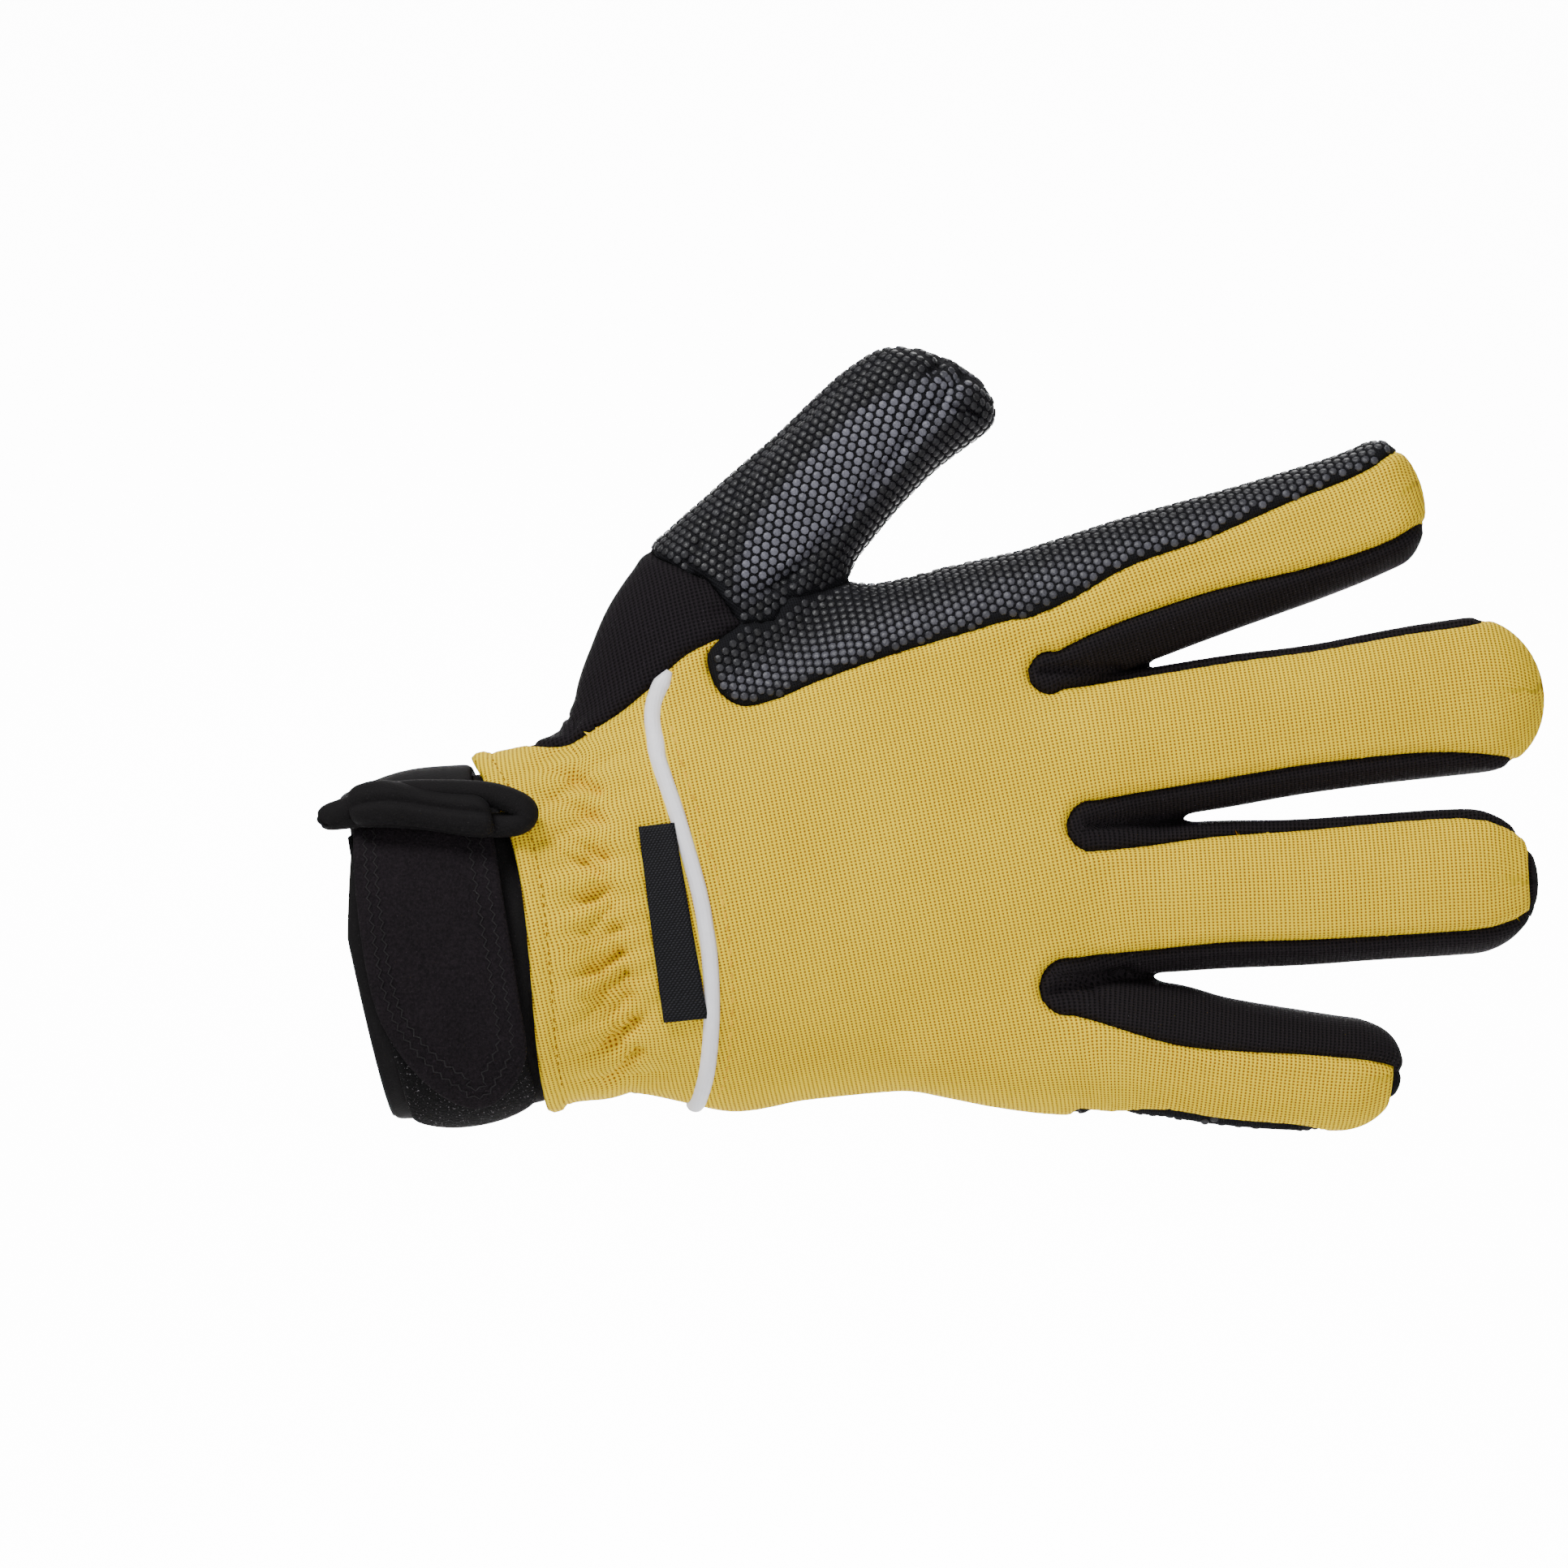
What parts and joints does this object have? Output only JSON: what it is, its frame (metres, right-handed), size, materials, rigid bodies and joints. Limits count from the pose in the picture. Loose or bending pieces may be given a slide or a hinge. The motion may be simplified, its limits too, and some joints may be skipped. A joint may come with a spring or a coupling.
{
  "type": "fishing glove",
  "caption": "Hollow right-hand fishing glove with a knit back, dotted grip palm and thumb, gathered wrist and a hook-and-loop wrist strap.",
  "frame": {"origin": "middle of the wrist opening at the cuff's mouth", "axes": "+X to the fingertips, +Z to the thumb, -Y out of the back of the hand; the hand's axis rises 12.5 degrees from +X"},
  "size_m": [0.2423, 0.0525, 0.1574],
  "materials": {
    "yellow_knit": "matt ribbed knit",
    "grip_cloth": "knit with raised rubbery dots",
    "rib_knit": "matt ribbed knit",
    "black_knit": "matt fine knit",
    "white_cord": "satin cord",
    "woven_label": "woven satin",
    "neoprene": "jersey-faced neoprene",
    "felt_tab": "felted microsuede",
    "pile_pad": "looped pile"
  },
  "bodies": {
    "root": {"back_panel": "yellow_knit", "wrist_gather": "yellow_knit", "palm_panel": "grip_cloth", "thumb_cover": "grip_cloth", "thumb_gusset": "rib_knit", "fourchette_index_middle": "black_knit", "fourchette_middle_ring": "black_knit", "fourchette_ring_little": "black_knit", "piping": "white_cord", "label": "woven_label", "wrist_band": "neoprene", "wrist_strap": "neoprene", "strap_fold": "neoprene", "closure_tab": "felt_tab", "loop_pad": "pile_pad"}
  },
  "joints": []
}
